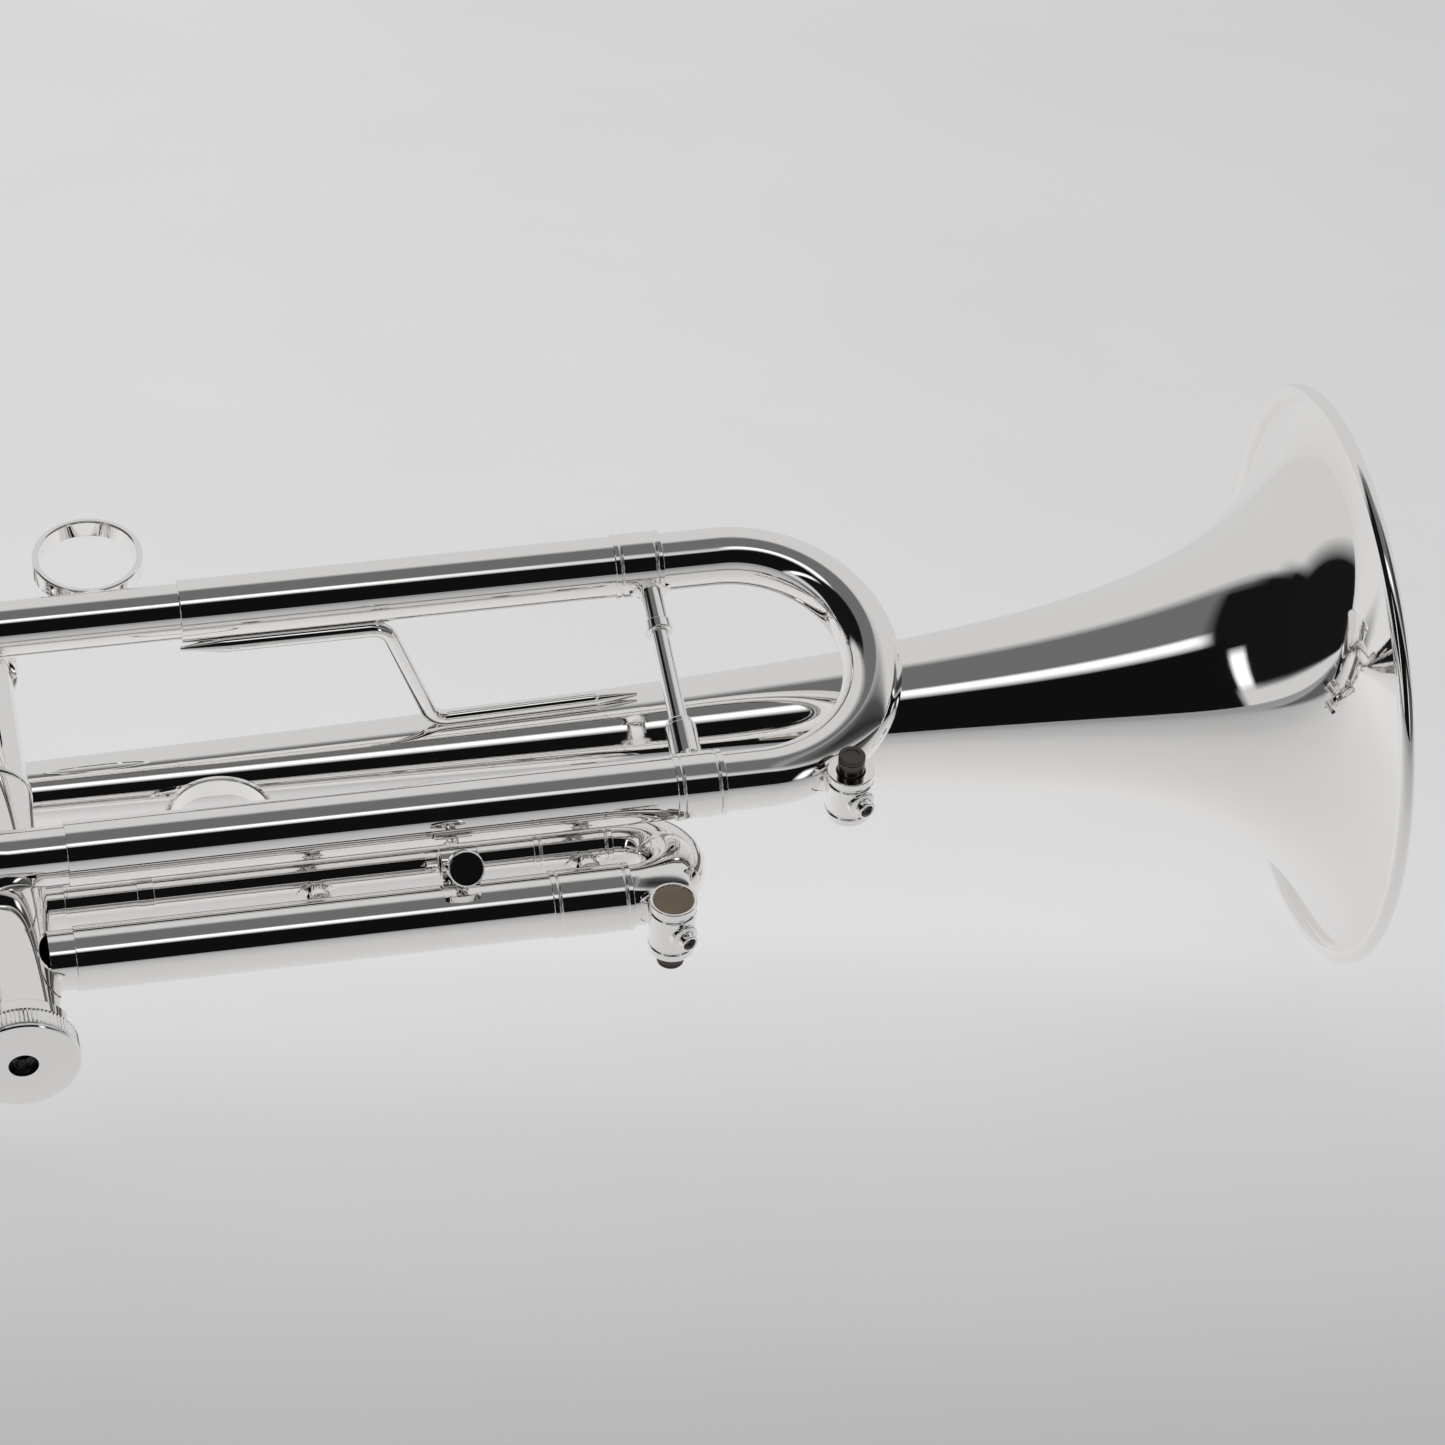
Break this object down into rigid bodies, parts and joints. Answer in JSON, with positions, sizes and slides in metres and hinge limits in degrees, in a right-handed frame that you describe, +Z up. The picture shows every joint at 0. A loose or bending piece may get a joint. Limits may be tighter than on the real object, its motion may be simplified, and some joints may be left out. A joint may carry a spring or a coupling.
{
  "type": "trumpet",
  "caption": "B flat piston trumpet in silver plate: flared bell, leadpipe, three sprung valves, four pulling slides with water keys, rings and braces",
  "frame": {"origin": "centre of the bounding box's bottom face, on the table that the trumpet lies on", "axes": "+Z up from the table; +X along the trumpet's length towards the bell; +Y towards the finger buttons. The bell's axis climbs 7.8 degrees along +X, because the trumpet lies on its bell rim, bell bow and first valve's bottom cap."},
  "size_m": [0.4972, 0.1594, 0.124],
  "materials": {
    "silver_plate": "silver plate over brass, mirror polished with a fine wipe-marked wear",
    "piston_alloy": "lapped nickel alloy, fine vertical grain",
    "spring_steel": "bright drawn spring wire",
    "felt": "pressed wool felt",
    "pearl": "polished mother-of-pearl",
    "key_button": "turned nickel, brownish grey",
    "guide": "moulded nylon",
    "rim_wire": "plain brass wire, sealed in the rim"
  },
  "bodies": {
    "trumpet_frame": {"valve_casing_1": "silver_plate", "valve_guide_1": "guide", "valve_spring_1": "spring_steel", "valve_casing_2": "silver_plate", "valve_guide_2": "guide", "valve_spring_2": "spring_steel", "valve_casing_3": "silver_plate", "valve_guide_3": "guide", "valve_spring_3": "spring_steel", "bottom_caps": "silver_plate", "top_caps": "silver_plate", "cap_felts": "felt", "crossover_tubes": "silver_plate", "bell": "silver_plate", "bell_rim_wire": "rim_wire", "bell_bow": "silver_plate", "mouthpiece_receiver": "silver_plate", "leadpipe": "silver_plate", "tuning_upper_outer_tube": "silver_plate", "tuning_lower_outer_tube": "silver_plate", "tuning_entry_elbow": "silver_plate", "third_slide_outer_tubes": "silver_plate", "first_slide_outer_tubes": "silver_plate", "second_slide_outer_tubes": "silver_plate", "slide_ferrules": "silver_plate", "pinky_ring": "silver_plate", "third_slide_ring": "silver_plate", "front_z_brace": "silver_plate", "rear_z_brace": "silver_plate", "tuning_slide_brace": "silver_plate", "third_slide_braces": "silver_plate", "lyre_holder": "silver_plate"},
    "valve_1": {"piston_1": "piston_alloy", "valve_stem_1": "silver_plate", "stem_felt_1": "felt", "finger_button_1": "silver_plate", "pearl_inlay_1": "pearl"},
    "valve_2": {"piston_2": "piston_alloy", "valve_stem_2": "silver_plate", "stem_felt_2": "felt", "finger_button_2": "silver_plate", "pearl_inlay_2": "pearl"},
    "valve_3": {"piston_3": "piston_alloy", "valve_stem_3": "silver_plate", "stem_felt_3": "felt", "finger_button_3": "silver_plate", "pearl_inlay_3": "pearl"},
    "main_tuning_slide": {"tuning_slide": "silver_plate", "tuning_water_key_barrel": "silver_plate", "tuning_water_key_spring": "spring_steel"},
    "tuning_water_key": {"tuning_water_key_button": "key_button"},
    "third_valve_slide": {"third_slide": "silver_plate", "third_water_key_barrel": "silver_plate", "third_water_key_spring": "spring_steel"},
    "third_water_key": {"third_water_key_button": "key_button"},
    "first_valve_slide": {"first_slide": "silver_plate", "first_slide_saddle": "silver_plate"},
    "second_valve_slide": {"second_slide": "silver_plate", "second_slide_knob": "silver_plate"},
    "lyre_thumb_screw": {"lyre_screw": "silver_plate"}
  },
  "joints": [
    {"name": "valve_1_press", "type": "slide", "parent": "trumpet_frame", "child": "valve_1", "axis": [0.0418, -0.9514, -0.3053], "range_m": [0, 0.0165], "stiffness_N_per_m": 60, "springref_m": -0.03, "deforming": ["valve_spring_1"]},
    {"name": "valve_2_press", "type": "slide", "parent": "trumpet_frame", "child": "valve_2", "axis": [0.0418, -0.9514, -0.3053], "range_m": [0, 0.0165], "stiffness_N_per_m": 60, "springref_m": -0.03, "deforming": ["valve_spring_2"]},
    {"name": "valve_3_press", "type": "slide", "parent": "trumpet_frame", "child": "valve_3", "axis": [0.0418, -0.9514, -0.3053], "range_m": [0, 0.0165], "stiffness_N_per_m": 60, "springref_m": -0.03, "deforming": ["valve_spring_3"]},
    {"name": "tuning_slide_pull", "type": "slide", "parent": "trumpet_frame", "child": "main_tuning_slide", "axis": [0.9908, 0, 0.1356], "range_m": [-0.008, 0.05]},
    {"name": "third_slide_pull", "type": "slide", "parent": "trumpet_frame", "child": "third_valve_slide", "axis": [0.9908, 0, 0.1356], "range_m": [0, 0.05]},
    {"name": "first_slide_pull", "type": "slide", "parent": "trumpet_frame", "child": "first_valve_slide", "axis": [-0.9908, 0, -0.1356], "range_m": [0, 0.025]},
    {"name": "second_slide_pull", "type": "slide", "parent": "trumpet_frame", "child": "second_valve_slide", "axis": [-0.129, -0.3081, 0.9426], "range_m": [0, 0.012]},
    {"name": "tuning_water_key_press", "type": "slide", "parent": "main_tuning_slide", "child": "tuning_water_key", "axis": [0.129, 0.3081, -0.9426], "range_m": [0, 0.002], "stiffness_N_per_m": 300, "springref_m": -0.003, "deforming": ["tuning_water_key_spring"]},
    {"name": "third_water_key_press", "type": "slide", "parent": "third_valve_slide", "child": "third_water_key", "axis": [-0.129, -0.3081, 0.9426], "range_m": [0, 0.002], "stiffness_N_per_m": 300, "springref_m": -0.003, "deforming": ["third_water_key_spring"]},
    {"name": "lyre_screw_turn", "type": "hinge", "parent": "trumpet_frame", "child": "lyre_thumb_screw", "pos_m": [0.04349, -0.04803, 0.04741], "axis": [-0.0472, -0.9376, 0.3446], "range_deg": [-360, 360]}
  ]
}
